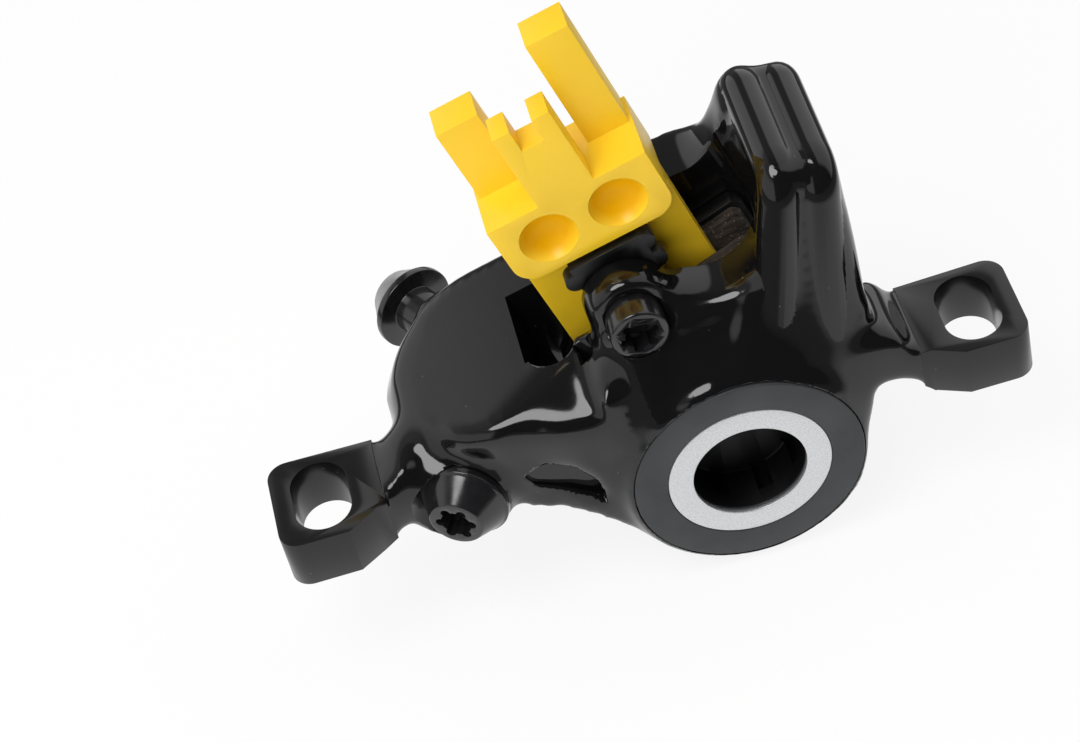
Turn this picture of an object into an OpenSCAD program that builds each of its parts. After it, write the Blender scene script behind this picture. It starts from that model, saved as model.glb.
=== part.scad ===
// Two-piston disc brake caliper for a bicycle: one-piece body with slotted post-mount ears.
// Millimetres, Z up. The ears rest on Z = 0 and their slots lie on Y = 0, either side of X = 0.
// The pistons run along Y. The pads and the bridges are drawn in a frame tilted about the piston axis.

/* [Mounting ears] */
// distance between the two mounting slots
ear_spacing = 74.2; // [73.6:0.1:75]
// thickness of each ear
ear_thickness = 6.5; // [5.8:0.1:7]
// size of each ear across the slot line
ear_depth = 12.8; // [12.4:0.1:13.2]
// from the slot centre to the free end of the ear
ear_end = 5.45; // [5.2:0.05:6.5]
// radius of the ears' outer corners
ear_corner = 2.3; // [1:0.1:3]
// width of each mounting slot
slot_width = 6.4; // [6.1:0.1:6.6]
// length of each mounting slot, end to end
slot_length = 10; // [8.5:0.1:10.4]

/* [Disc and pad frame] */
// from the slot line to the middle plane of the brake disc
disc_offset = 9.5; // [9.2:0.1:10]
// tilt of the pads from the mounting bolts, in degrees
pad_tilt = 15; // [14:0.5:16]
// piston axis along X
piston_x = 9.1; // [8.6:0.1:9.6]
// piston axis above the mounting faces
piston_height = -1.5; // [-2:0.1:-1]
// width of the pocket that holds the pads
pad_pocket = 11; // [10.9:0.1:11.2]
// radius of the disc the caliper is made for
disc_radius = 80; // [79:0.5:81]

/* [Cylinders] */
// diameter of each piston
piston_diameter = 22; // [21.6:0.1:22.2]
// radial gap between piston and bore
piston_fit = 0.03; // [0.02:0.01:0.06]
// outer radius of each cylinder
cylinder_radius = 13.95; // [13.9:0.05:14.3]
// from the disc plane to the face of the cap
near_depth = 16.65; // [16.5:0.05:16.9]
// thickness of the closed end of the far cylinder
far_end = 2.7; // [2.4:0.1:3.3]
// radius of the cap's flange
cap_radius = 13.1; // [13:0.05:13.2]
// outer radius of the ring in the cap
ring_outer = 9.3; // [9:0.1:9.6]
// radius of the blind hole in the cap
cap_hole = 6.45; // [6.2:0.05:6.6]

/* [Bridges] */
// height of the flat bridge above the piston axis
bridge_top = 19.65; // [19.3:0.05:20]
// radius of the flat bridge's round end
bridge_radius = 13.2; // [13:0.1:13.5]
// centre of the flat bridge's round end, from the piston axis
bridge_reach = 19.25; // [19:0.05:19.6]
// rounding of the flat bridge's top edge
bridge_edge = 1.8; // [1:0.1:2.2]
// radius of the two ridges on the arch
ridge_radius = 2.1; // [1.9:0.05:2.2]
// half the length of the arch's straight top
arch_half = 8.2; // [7.9:0.1:8.6]

/* [Pads and spacer] */
// thickness of each pad plate
plate_thickness = 1.8; // [1.7:0.05:1.85]
// thickness of each friction block
friction_thickness = 2.15; // [2:0.05:2.2]
// thickness of the spacer's blade
blade_thickness = 1.8; // [1.6:0.05:1.9]
// width of the spacer's blade
blade_width = 18.6; // [18.2:0.1:18.8]
// height of the spacer's longer prong above its block
long_prong = 15.3; // [12:0.1:17]
// height of the spacer's shorter prong above its block
short_prong = 10.4; // [8:0.1:12]

/* [Screws] */
// diameter of the pad screw's shank
pad_screw_diameter = 4; // [3.8:0.1:4.2]
// diameter of the pad screw's head
pad_screw_head = 6.45; // [6:0.05:6.8]
// diameter of the flange on the bleed screw and on the port plug
port_flange = 10.2; // [9.8:0.1:10.4]
// splay of the two ports from the piston axis, in degrees
port_splay = 28; // [26:0.5:30]

/* [Hidden] */
$fn = 72;
// gap between pieces that sit on each other
fit = 0.02;
// how far joined solids run into each other
overlap = 0.5;
// longer than any cut
reach = 60;
// small chamfers
edge_break = 0.4;
fine_break = 0.1;

pocket_half = pad_pocket / 2;
piston_radius = piston_diameter / 2;
bore_radius = piston_radius + piston_fit;
body_rim = 0.7;

// depths are measured from the disc plane towards the end of the cylinder
pad_room = 0.2;
pad_back = pocket_half - pad_room;
cap_flange = 1.8;
cap_seat = near_depth - cap_flange;
plug_length = 1.95;
plug_end = cap_seat - plug_length;
piston_room = 0.4;
piston_end = plug_end - piston_room;
piston_length = piston_end - pad_back;
far_depth = plug_end + far_end;
wall_root = pocket_half - 1;
piston_crown = 2.3;
piston_bore = piston_radius - 2.4;
magnet_radius = 5;
magnet_thickness = 1.2;
seal_place = 0.57;
seal_start = pad_back + seal_place * piston_length;
seal_width = 2;
seal_gap = 0.04;
seal_outer = piston_radius + 1.55;
plug_radius = cap_radius - 0.9;
hub_radius = piston_bore - 0.7;
hub_end = pad_back + piston_crown + 0.8;
hole_end = hub_end + 1.8;
ring_depth = 0.6;
cap_groove = 0.95;
cap_seal_middle = cap_seat - 0.85;
cap_seal_section = 0.46;
notch_count = 8;
notch_radius = 0.9;
notch_length = 3.6;

// ears, from the slot centre or from the neck's end
neck_end = ear_spacing / 2 - 5.6;
ear_root = neck_end - 11.5;
left_neck_edge = [[-11.5, 2.2], [-5.2, 0.8], [-4.4, -2.2], [-3.5, -2.35], [-2, -2.8], [0.4, -4.5]];
right_neck_edge = [[-11.5, -4.7], [0, -4.7]];
neck_shoulder = 3.4;
neck_far_edge = [[-4.6, 6], [-5.4, 5.6], [-5.8, 3.88], [-11.5, 3.88]];
neck_arch_radius = 7.25;
neck_arch_lift = 2.9;
neck_arch_middle = 6;
ramp_end = neck_end - 1.3;
left_ramp = [[0, 0], [-0.7, 0.5], [-1.6, 1.5], [-2.6, 2.1], [-4, 2.3], [-10.2, 2.3]];
right_ramp = [[0, 0], [-0.7, 0.6], [-1.9, 2.6], [-2.8, 3.3], [-5, 4], [-10.2, 4]];
left_slope = [[-8, 0.5], [-3.6, 0.5], [-2, 1.6], [-1.2, 2.6], [-1.2, 8], [8, 8]];
right_slope = [[-8, 0.5], [-5, 0.5], [-4.5, 2.8], [-3.4, 3.6], [-1.2, 4.6], [-1.2, 8], [8, 8]];

// flat bridge
bridge_low = -9;
bridge_end = -7;
pocket_left = -16.1;
pocket_right = 30;
skirt_spread = 2.2;
skirt_waist = 0.8;
skirt_tuck = 0.25;
skirt_low = 15.6;
skirt_middle = 17.1;
skirt_top = 18.3;
skirt_start = 134;
skirt_sweep = 94;
shelf_depth = bridge_radius + 1.8;
shelf_drop = 2.2;
disc_middle = [14.1, -66.5];
disc_gap = 2.3;
disc_clear = disc_radius + 2;
scallop = [-12.8, -4.4, 6];
scallop_radius = 3.1;
relief = [-10.3, -9, 14.6];
relief_width = 1.9;
side_pocket_depth = 0.7;

// arch
arch_inner = [13.85, 25.6];
ridge_one = [18.5, 29.9];
ridge_two = [22.3, 28.1];
ridge_one_foot = [10.7, 14.1];
ridge_two_foot = [15.4, 10.5];
ridge_foot_depth = 11.3;
ridge_knuckle = 0.08;
near_arch_wall = 8.9;
far_arch_wall = 9.8;
near_wall = 7.6;
far_wall = 12.6;
flare_inset = 0.4;
wall_flare = 27;
wall_lead = 12;
leg_flare = 37;
leg_lead = 4;

// pad screw
screw_u = -2.4;
screw_w = 22.25;
screw_radius = pad_screw_diameter / 2;
screw_boss = 4.9;
screw_seat = 8.2;
screw_head_length = 4.3;
screw_far_end = 11;
screw_far_boss = 12;
screw_hole = screw_radius + 0.25;
head_room = 0.35;
tip_room = 0.1;
column_top = [-4.8, -6.6, 20];
column_foot = [-7.6, -11.6, 9];
column_radius = 3.2;

// ports
port_x = -21.8;
port_z = 1.85;
near_port_y = disc_offset - near_depth + 5.25;
far_port_y = disc_offset + far_depth + 4.4;
near_boss_length = 12;
far_boss_length = 18;
port_boss = 5.3;
far_boss_back = 4.4;
port_shank = 2.9;
port_length = 7.5;
port_room = 0.4;
drill_room = 0.2;
port_seat_radius = 4.5;
port_seat_depth = 0.95;
port_seal_radius = 3.7;
port_seal_section = 0.46;
port_cone = 3.1;
port_tip = 3.05;
port_rim = 0.9;
rim_step = 0.25;
rim_break = 0.2;
lobe_count = 6;
lobe_share = 0.24;
lobe_core = 0.74;
port_socket = 2.35;
pad_socket = 2.3;
socket_depth = 2.3;

// pads
plate_front = pad_back - plate_thickness;
friction_front = plate_front - friction_thickness;
lobe_radius = 1.15;

// spacer
spacer_u = -1.9;
block_low = 29.3;
block_top = 38.3;
block_half = blade_width / 2 + 0.1;
block_depth = 9.6;
block_corner = 2.6;
blade_low = -9;
blade_slot = 3;
blade_slot_top = 26;
blade_tip = 1.5;
blade_root = 1;
prong_width = 4.9;
prong_inset = 0.45;
prong_depth = 4.1;
tab_width = 6.6;
tab_depth = 3.5;
tab_height = 10.9;
tab_notch = 2.6;
tab_notch_depth = 3.1;
dimple_radius = 3.25;
dimple_depth = 2.2;
dimple_spacing = 8.3;
dimple_height = 4.5;

// outlines in the tilted frame, X along the disc's rim and Z outwards
near_wall_outline = [
    [-17, 18], [-8, 18], [-5.5, 22.5], [0.5, 23.5], [4.6, 21.6], [7.9, 20.7],
    [10.6, 22], [13.85, 25.6], [24, 24], [20.6, 12], [18, 4], [14.6, -2.5],
    [10, -9], [-12, -8], [-16, 0]
];
far_wall_outline = [
    [-17, 18], [-8, 19], [-5.5, 22.5], [0.5, 24.2], [5, 24.6], [9, 24.2],
    [11.6, 24.7], [13.85, 25.6], [24, 24], [20.6, 12], [18, 4], [14.6, -2.5],
    [10, -9], [-12, -8], [-16, 0]
];
near_leg_outline = [
    [4.4, 13], [6.3, 16.6], [11, 21.3], [12.6, 23.2], [16.6, 30.6],
    [23.6, 28.3], [24.3, 26], [22.2, 16.5], [18.6, 4.5], [15, -2.5], [12.4, -3], [6, 8]
];
far_leg_outline = [
    [6.5, 20], [9.4, 24], [11.8, 25.4], [14.3, 28.2], [15.6, 30.2], [16.8, 31.2],
    [23.6, 28.3], [24.3, 26], [22.2, 16.5], [18.6, 4.5], [15, -2.5], [12.4, -3], [6, 8]
];
arch_section = [
    [13.85, 25.6], [16.7, 31], [18.5, 31], [21, 30], [23, 29.4],
    [24, 28], [24.4, 26.2], [23.2, 23.2], [20, 22.4], [16, 23.6]
];
bridge_side = [
    [-34, 22], [-34, 8.6], [-31, 7.2], [-26, 7.4], [-20.7, 4.6], [-17.4, 1.4],
    [-15, -2.2], [-13, -6.5], [-6, -9], [-6, 22]
];
pocket_outline = [
    [pocket_left, -reach], [pocket_right, -reach], [pocket_right, 21.6], [20, 22.4], [16, 23.6],
    [arch_inner.x, arch_inner.y], [arch_inner.x, reach], [pocket_left, reach]
];
shelf_plan = [
    [-20, -9], [-20, -bridge_radius], [-14.5, -shelf_depth], [-9.5, -shelf_depth], [-6, -12.5], [-6, -9]
];
side_pocket = [
    [-22, 11.6], [-19, 12.4], [-16.2, 10.4], [-15, 7.2], [-15.6, 3.2], [-18.2, 6.4], [-21.4, 9.4]
];
pad_outline = [
    [-14.8, -7.5], [-14.8, 7], [-12, 10.5], [-6.2, 13.6], [-6.2, 28.6], [2.4, 28.6], [2.4, 17.4],
    [11.4, 18.8], [12.4, 17.8], [12.4, -7.5], [8, -12], [-11, -12]
];
friction_outline = [
    [-14.2, -7], [-14.2, 6.6], [-11.4, 9.8], [-5.4, 13], [2.6, 16.9], [11.1, 18.3],
    [11.9, 17.5], [11.9, -7], [7.6, -11], [-10.6, -11]
];
pad_lobes = [[-6.3, 26.6], [2.5, 24.3], [2.4, 27.4]];

// helpers

// places its children in the tilted frame of the pads
module pad_frame() {
    translate([piston_x, disc_offset, piston_height])
        rotate([0, -pad_tilt, 0])
            children();
}

// extrudes a drawing of X and Z along Y
module across(from, to) {
    translate([0, to, 0])
        rotate([90, 0, 0])
            linear_extrude(to - from)
                children();
}

// extrudes a drawing of Y and Z along X
module along(from, to) {
    translate([from, 0, 0])
        rotate([90, 0, 90])
            linear_extrude(to - from)
                children();
}

// turns a drawing of radius and depth about the piston axis, depth towards the near side
module turned() {
    rotate([90, 0, 0])
        rotate_extrude()
            children();
}

// the same piece on the other side of the disc
module far_side() {
    mirror([0, 1, 0])
        children();
}

// round bar between two points
module rod(p, q, radius) {
    v = q - p;
    translate(p)
        rotate([0, acos(v.z / norm(v)), atan2(v.y, v.x)])
            cylinder(h = norm(v), r = radius);
}

// half section of a disc with a rounded top edge
module rim_section(radius, low, high, edge) {
    translate([0, low])
        square([radius - edge, high - low]);
    translate([0, low])
        square([radius, high - low - edge]);
    translate([radius - edge, high - edge])
        circle(edge);
}

// frame of a port: Z runs outwards along its axis, the flange rests on Z = 0
module near_port() {
    translate([port_x, near_port_y, port_z])
        rotate([90, 0, -port_splay])
            children();
}

module far_port() {
    translate([port_x, far_port_y, port_z])
        rotate([-90, 0, port_splay])
            children();
}

// six-lobe socket drawing
module lobes(radius) {
    lobe = radius * lobe_share;
    circle(radius * lobe_core);
    for (i = [0 : lobe_count - 1])
        rotate(i * 360 / lobe_count)
            translate([radius - lobe, 0])
                circle(lobe);
}

// section of a flare: from the cylinder's rim it sinks in one arc to a thin wall
module flare_section(depth, thin, far_radius, lead) {
    high = depth - body_rim;
    inner = cylinder_radius - flare_inset;
    centre = far_radius + lead;
    middle = (pow(lead, 2) - pow(centre - inner, 2) + pow(thin, 2) - pow(high, 2)) / (2 * (thin - high));
    difference() {
        translate([0, wall_root])
            square([far_radius, high - wall_root]);
        translate([centre, middle])
            circle(norm([lead, middle - thin]), $fn = 3 * $fn);
    }
}

// body

// ear to the right, its slot on the slot line; its neck rises in a ramp where it runs into the body
module ear(neck_edge, ramp, slope, lift) {
    end = ear_spacing / 2 + ear_end;
    half = ear_depth / 2;
    plan = concat(
        [for (p = neck_edge) [neck_end + p.x, p.y]],
        [
            [neck_end + neck_shoulder, -half], [end - ear_corner, -half],
            [end, -half + ear_corner], [end, half - ear_corner], [end - ear_corner, half]
        ],
        [for (p = neck_far_edge) [neck_end + p.x, p.y]]
    );
    side = concat(
        [[ear_root, 0], [end, 0], [end, ear_thickness]],
        [for (p = ramp) [ramp_end + p.x, ear_thickness + p.y]]
    );
    near_slope = concat(
        [[ear_depth, -overlap], [-ear_depth, -overlap]],
        [for (p = slope) [p.x, ear_thickness + p.y]]
    );
    difference() {
        intersection() {
            linear_extrude(reach)
                union() {
                    polygon(plan);
                    translate([end - ear_corner, -half + ear_corner])
                        circle(ear_corner);
                    translate([end - ear_corner, half - ear_corner])
                        circle(ear_corner);
                }
            across(-ear_depth, ear_depth)
                polygon(side);
            along(0, reach)
                polygon(near_slope);
        }
        translate([ear_spacing / 2, 0, -overlap])
            linear_extrude(ear_thickness + 2 * overlap)
                slot_drawing();
        if (lift > 0)
            across(-ear_depth, ear_depth)
                translate([neck_end - neck_arch_middle, lift - neck_arch_radius])
                    circle(neck_arch_radius);
    }
}

module slot_drawing() {
    straight = slot_length - slot_width;
    square([slot_width, straight], center = true);
    for (s = [-1, 1])
        translate([0, s * straight / 2])
            circle(slot_width / 2);
}

// the same piece on the left
module left_side() {
    mirror([1, 0, 0])
        children();
}

module flat_bridge() {
    intersection() {
        union() {
            translate([-bridge_reach, 0, 0])
                rotate_extrude()
                    rim_section(bridge_radius, bridge_low, bridge_top, bridge_edge);
            // the round end spreads towards its foot, between the two ports
            translate([-bridge_reach, 0, 0])
                rotate([0, 0, skirt_start])
                    rotate_extrude(angle = skirt_sweep)
                        polygon([
                            [bridge_radius - bridge_edge, bridge_low], [bridge_radius + skirt_spread, bridge_low],
                            [bridge_radius + skirt_spread, skirt_low],
                            [bridge_radius + skirt_waist, skirt_middle],
                            [bridge_radius - skirt_tuck, skirt_top], [bridge_radius - bridge_edge, skirt_top]
                        ]);
            along(-bridge_reach, bridge_end)
                union() {
                    rim_section(bridge_radius, bridge_low, bridge_top, bridge_edge);
                    mirror([1, 0])
                        rim_section(bridge_radius, bridge_low, bridge_top, bridge_edge);
                }
            translate([0, 0, bridge_low])
                linear_extrude(bridge_top - shelf_drop - bridge_low)
                    polygon(shelf_plan);
        }
        across(-reach, reach)
            polygon(bridge_side);
    }
}

module half_body(depth, wall_outline, leg_outline, wall_thin, leg_thin) {
    turned()
        rim_section(cylinder_radius, wall_root, depth, body_rim);
    intersection() {
        turned()
            flare_section(depth, wall_thin, wall_flare, wall_lead);
        across(-reach, 0)
            polygon(wall_outline);
    }
    intersection() {
        turned()
            flare_section(depth, leg_thin, leg_flare, leg_lead);
        across(-reach, 0)
            polygon(leg_outline);
    }
}

module ridge(top, foot) {
    rod([top.x, -arch_half, top.y], [top.x, arch_half, top.y], ridge_radius);
    for (s = [-1, 1]) {
        bend = [top.x, s * arch_half, top.y];
        translate(bend)
            sphere(ridge_radius + ridge_knuckle);
        rod(bend, [foot.x, s * ridge_foot_depth, foot.y], ridge_radius);
    }
}

module screw_column() {
    rod([screw_u, -screw_seat, screw_w], [screw_u, 0, screw_w], screw_boss);
    rod([screw_u, 0, screw_w], [screw_u, screw_far_boss, screw_w], screw_boss);
    rod(column_top, column_foot, column_radius);
}

module port_bosses() {
    near_port()
        translate([0, 0, -near_boss_length])
            cylinder(h = near_boss_length - fit, r = port_boss);
    far_port()
        translate([0, 0, -far_boss_length])
            cylinder(h = far_boss_length - far_boss_back, r = port_boss);
}

module body_solid() {
    half_body(near_depth, near_wall_outline, near_leg_outline, near_wall, near_arch_wall);
    far_side()
        half_body(far_depth, far_wall_outline, far_leg_outline, far_wall, far_arch_wall);
    across(-arch_half, arch_half)
        polygon(arch_section);
    ridge(ridge_one, ridge_one_foot);
    ridge(ridge_two, ridge_two_foot);
    flat_bridge();
    screw_column();
}

// way of the disc, all round its rim
module disc_cut() {
    across(-disc_gap, disc_gap)
        translate(disc_middle)
            circle(disc_clear);
}

module body_cuts() {
    // pad pocket and the way of the disc
    across(-pocket_half, pocket_half)
        polygon(pocket_outline);
    intersection() {
        disc_cut();
        translate([-reach, -reach, -reach])
            cube([reach, 2 * reach, 2 * reach]);
    }
    // scalloped corner and relief beside the pad screw's boss
    translate(scallop)
        cylinder(h = reach, r = scallop_radius);
    translate(relief)
        cube([relief_width, -relief.y, reach]);
    cylinder_cuts();
    // pad screw
    rod([screw_u, -reach, screw_w], [screw_u, screw_far_end + tip_room, screw_w], screw_radius + fit);
    rod([screw_u, -reach, screw_w], [screw_u, -screw_seat, screw_w], pad_screw_head / 2 + head_room);
    // shallow pocket beside the near port
    across(-reach, -bridge_radius + side_pocket_depth)
        polygon(side_pocket);
}

// bores, seal grooves and the seat of the cap
module cylinder_cuts() {
    for (s = [0, 1])
        mirror([0, s, 0])
            turned() {
                translate([0, wall_root - overlap])
                    square([bore_radius, plug_end - wall_root + overlap]);
                translate([0, seal_start - fit])
                    square([seal_outer + fit, seal_width + 2 * fit]);
            }
    turned() {
        translate([0, plug_end - overlap])
            square([plug_radius + fit, reach]);
        translate([0, cap_seat - fit])
            square([cap_radius + fit, reach]);
    }
}

module port_cuts() {
    near_port() {
        translate([0, 0, -port_length - drill_room])
            cylinder(h = port_length + reach, r = port_shank + fit);
        translate([0, 0, -port_seat_depth])
            cylinder(h = reach, r = port_seat_radius);
        translate([0, 0, -fit])
            cylinder(h = reach, r = port_flange / 2 + port_room);
    }
    far_port()
        translate([0, 0, -port_length - far_boss_back - drill_room]) {
            cylinder(h = reach, r = port_shank + fit);
            translate([0, 0, port_length + drill_room - port_seat_depth])
                cylinder(h = reach, r = port_seat_radius);
        }
}

module caliper_body() {
    color([0.05, 0.05, 0.06])
        difference() {
            union() {
                pad_frame()
                    difference() {
                        body_solid();
                        body_cuts();
                    }
                left_side()
                    ear(left_neck_edge, left_ramp, left_slope, 0);
                ear(right_neck_edge, right_ramp, right_slope, neck_arch_lift);
                port_bosses();
            }
            port_cuts();
            pad_frame() {
                cylinder_cuts();
                disc_cut();
            }
        }
}

// pieces in the cylinders

module cylinder_cap() {
    color([0.2, 0.2, 0.21])
        pad_frame()
            difference() {
                turned()
                    polygon([
                        [0, hub_end], [hub_radius, hub_end], [hub_radius, plug_end],
                        [plug_radius, plug_end],
                        [plug_radius, cap_seal_middle - cap_groove / 2 - fit],
                        [plug_radius - cap_groove, cap_seal_middle - cap_groove / 2 - fit],
                        [plug_radius - cap_groove, cap_seal_middle + cap_groove / 2 + fit],
                        [plug_radius, cap_seal_middle + cap_groove / 2 + fit],
                        [plug_radius, cap_seat], [cap_radius, cap_seat],
                        [cap_radius, near_depth - rim_step], [cap_radius - rim_step, near_depth],
                        [ring_outer + fit, near_depth], [ring_outer + fit, near_depth - ring_depth],
                        [cap_hole, near_depth - ring_depth], [cap_hole, hole_end], [0, hole_end]
                    ]);
                for (i = [0 : notch_count - 1])
                    rotate([0, i * 360 / notch_count, 0])
                        rod([cap_hole, -hole_end - notch_length, 0], [cap_hole, -hole_end, 0], notch_radius);
            }
}

module cap_ring() {
    color([0.8, 0.8, 0.82])
        pad_frame()
            turned()
                polygon([
                    [cap_hole, near_depth - ring_depth + fit], [ring_outer, near_depth - ring_depth + fit],
                    [ring_outer, near_depth - fine_break], [ring_outer - fine_break, near_depth],
                    [cap_hole + fine_break, near_depth], [cap_hole, near_depth - fine_break]
                ]);
}

module cap_seal() {
    color([0.03, 0.03, 0.03])
        pad_frame()
            turned()
                translate([plug_radius - cap_seal_section, cap_seal_middle])
                    circle(cap_seal_section);
}

module piston() {
    turned()
        polygon([
            [magnet_radius + fit, pad_back], [piston_radius - edge_break, pad_back],
            [piston_radius, pad_back + edge_break], [piston_radius, piston_end - edge_break],
            [piston_radius - edge_break, piston_end], [piston_bore, piston_end],
            [piston_bore, pad_back + piston_crown], [0, pad_back + piston_crown],
            [0, pad_back + magnet_thickness + 2 * fit], [magnet_radius + fit, pad_back + magnet_thickness + 2 * fit]
        ]);
}

module magnet() {
    turned()
        translate([0, pad_back + fit])
            square([magnet_radius, magnet_thickness]);
}

module piston_seal() {
    turned()
        translate([piston_radius + seal_gap, seal_start])
            square([seal_outer - piston_radius - seal_gap, seal_width]);
}

module near_piston() {
    color([0.75, 0.73, 0.7])
        pad_frame()
            piston();
}

module near_piston_magnet() {
    color([0.6, 0.6, 0.62])
        pad_frame()
            magnet();
}

module near_piston_seal() {
    color([0.03, 0.03, 0.03])
        pad_frame()
            piston_seal();
}

module far_piston() {
    color([0.75, 0.73, 0.7])
        pad_frame()
            far_side()
                piston();
}

module far_piston_magnet() {
    color([0.6, 0.6, 0.62])
        pad_frame()
            far_side()
                magnet();
}

module far_piston_seal() {
    color([0.03, 0.03, 0.03])
        pad_frame()
            far_side()
                piston_seal();
}

// pads

module pad_plate() {
    back = -pad_back + fit;
    difference() {
        union() {
            across(back, -plate_front)
                polygon(pad_outline);
            for (p = pad_lobes)
                rod([p.x, back, p.y], [p.x, -plate_front, p.y], lobe_radius);
        }
        rod([screw_u, -reach, screw_w], [screw_u, 0, screw_w], screw_hole);
    }
}

module pad_friction() {
    across(-plate_front, -friction_front)
        polygon(friction_outline);
}

module near_pad_plate() {
    color([0.09, 0.09, 0.09])
        pad_frame()
            pad_plate();
}

module near_pad_friction() {
    color([0.3, 0.26, 0.22])
        pad_frame()
            pad_friction();
}

module far_pad_plate() {
    color([0.09, 0.09, 0.09])
        pad_frame()
            far_side()
                pad_plate();
}

module far_pad_friction() {
    color([0.3, 0.26, 0.22])
        pad_frame()
            far_side()
                pad_friction();
}

// screws

module pad_screw() {
    head = pad_screw_head / 2;
    color([0.08, 0.08, 0.08])
        pad_frame()
            translate([screw_u, 0, screw_w])
                rotate([90, 0, 0])
                    difference() {
                        rotate_extrude()
                            polygon([
                                [0, -screw_far_end], [screw_radius - edge_break, -screw_far_end],
                                [screw_radius, -screw_far_end + edge_break], [screw_radius, screw_seat + fit],
                                [head, screw_seat + fit], [head, screw_seat + screw_head_length - edge_break],
                                [head - edge_break, screw_seat + screw_head_length],
                                [0, screw_seat + screw_head_length]
                            ]);
                        translate([0, 0, screw_seat + screw_head_length - socket_depth])
                            linear_extrude(reach)
                                lobes(pad_socket);
                    }
}

module port_screw(shank) {
    flange = port_flange / 2;
    difference() {
        rotate_extrude()
            polygon([
                [0, -shank], [port_shank - edge_break, -shank], [port_shank, -shank + edge_break], [port_shank, 0],
                [flange - rim_break, 0], [flange, rim_break], [flange, port_rim],
                [flange - rim_step, port_rim + fine_break], [port_tip, port_rim + port_cone], [0, port_rim + port_cone]
            ]);
        translate([0, 0, port_rim + port_cone - socket_depth])
            linear_extrude(reach)
                lobes(port_socket);
    }
}

module port_seal() {
    rotate_extrude()
        translate([port_seal_radius, -port_seal_section])
            circle(port_seal_section);
}

module bleed_screw() {
    color([0.08, 0.08, 0.08])
        near_port()
            port_screw(port_length);
}

module bleed_screw_seal() {
    color([0.03, 0.03, 0.03])
        near_port()
            port_seal();
}

module hose_port_plug() {
    color([0.08, 0.08, 0.08])
        far_port()
            port_screw(port_length + far_boss_back);
}

module hose_port_seal() {
    color([0.03, 0.03, 0.03])
        far_port()
            translate([0, 0, -far_boss_back])
                port_seal();
}

// transport spacer

module block_drawing() {
    translate([-block_half, block_low + block_corner])
        square([2 * block_half, block_top - block_low - block_corner]);
    translate([-block_half + block_corner, block_low])
        square([2 * (block_half - block_corner), block_corner + overlap]);
    for (s = [-1, 1])
        translate([s * (block_half - block_corner), block_low + block_corner])
            circle(block_corner);
}

module blade_drawing() {
    half = blade_width / 2;
    difference() {
        polygon([
            [-half, block_top - blade_root], [-half, blade_low + blade_tip], [-half + blade_tip, blade_low],
            [half - blade_tip, blade_low], [half, blade_low + blade_tip], [half, block_top - blade_root]
        ]);
        translate([-blade_slot, blade_low - overlap])
            square([2 * blade_slot, blade_slot_top - blade_slot - blade_low + overlap]);
        translate([0, blade_slot_top - blade_slot])
            circle(blade_slot);
    }
}

module transport_spacer() {
    near = -block_depth / 2;
    far = block_depth / 2;
    tab_top = block_top + tab_height;
    sphere_radius = (pow(dimple_radius, 2) + pow(dimple_depth, 2)) / (2 * dimple_depth);
    color([0.95, 0.78, 0.12])
        pad_frame()
            translate([spacer_u, 0, 0])
                difference() {
                    union() {
                        across(near, far)
                            block_drawing();
                        across(-blade_thickness / 2, blade_thickness / 2)
                            blade_drawing();
                        translate([-tab_width / 2, near, block_top - overlap])
                            cube([tab_width, tab_depth, tab_height + overlap]);
                        translate([-block_half + prong_inset, far - prong_depth, block_top - overlap])
                            cube([prong_width, prong_depth, short_prong + overlap]);
                        translate([block_half - prong_inset - prong_width, far - prong_depth, block_top - overlap])
                            cube([prong_width, prong_depth, long_prong + overlap]);
                    }
                    translate([-tab_notch / 2, near - overlap, tab_top - tab_notch_depth])
                        cube([tab_notch, tab_depth + 2 * overlap, reach]);
                    for (s = [-1, 1])
                        translate([s * dimple_spacing / 2, near - sphere_radius + dimple_depth, block_low + dimple_height])
                            sphere(sphere_radius);
                }
}

caliper_body();
cylinder_cap();
cap_ring();
cap_seal();
near_piston();
near_piston_magnet();
near_piston_seal();
far_piston();
far_piston_magnet();
far_piston_seal();
near_pad_plate();
near_pad_friction();
far_pad_plate();
far_pad_friction();
pad_screw();
bleed_screw();
bleed_screw_seal();
hose_port_plug();
hose_port_seal();
transport_spacer();
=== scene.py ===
import math

import bpy
import numpy as np
from mathutils import Matrix, Vector


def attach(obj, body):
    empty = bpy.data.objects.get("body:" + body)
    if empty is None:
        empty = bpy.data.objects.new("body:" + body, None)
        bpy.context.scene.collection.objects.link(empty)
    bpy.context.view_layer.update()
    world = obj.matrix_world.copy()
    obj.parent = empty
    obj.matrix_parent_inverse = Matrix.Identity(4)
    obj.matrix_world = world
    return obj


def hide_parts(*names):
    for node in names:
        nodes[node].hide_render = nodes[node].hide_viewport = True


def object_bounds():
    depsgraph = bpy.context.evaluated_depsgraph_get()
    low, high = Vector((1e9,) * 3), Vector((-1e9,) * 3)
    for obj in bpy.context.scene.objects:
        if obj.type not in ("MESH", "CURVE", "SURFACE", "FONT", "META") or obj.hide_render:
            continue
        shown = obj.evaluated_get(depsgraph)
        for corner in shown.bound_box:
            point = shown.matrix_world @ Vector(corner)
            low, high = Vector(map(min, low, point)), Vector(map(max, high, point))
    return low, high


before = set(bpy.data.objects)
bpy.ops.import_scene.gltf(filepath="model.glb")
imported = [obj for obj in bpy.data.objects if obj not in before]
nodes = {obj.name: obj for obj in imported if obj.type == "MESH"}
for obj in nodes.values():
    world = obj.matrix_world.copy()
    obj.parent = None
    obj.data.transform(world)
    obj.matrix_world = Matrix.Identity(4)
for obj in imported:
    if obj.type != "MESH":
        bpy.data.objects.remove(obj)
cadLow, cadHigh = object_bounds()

scene = bpy.context.scene

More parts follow.
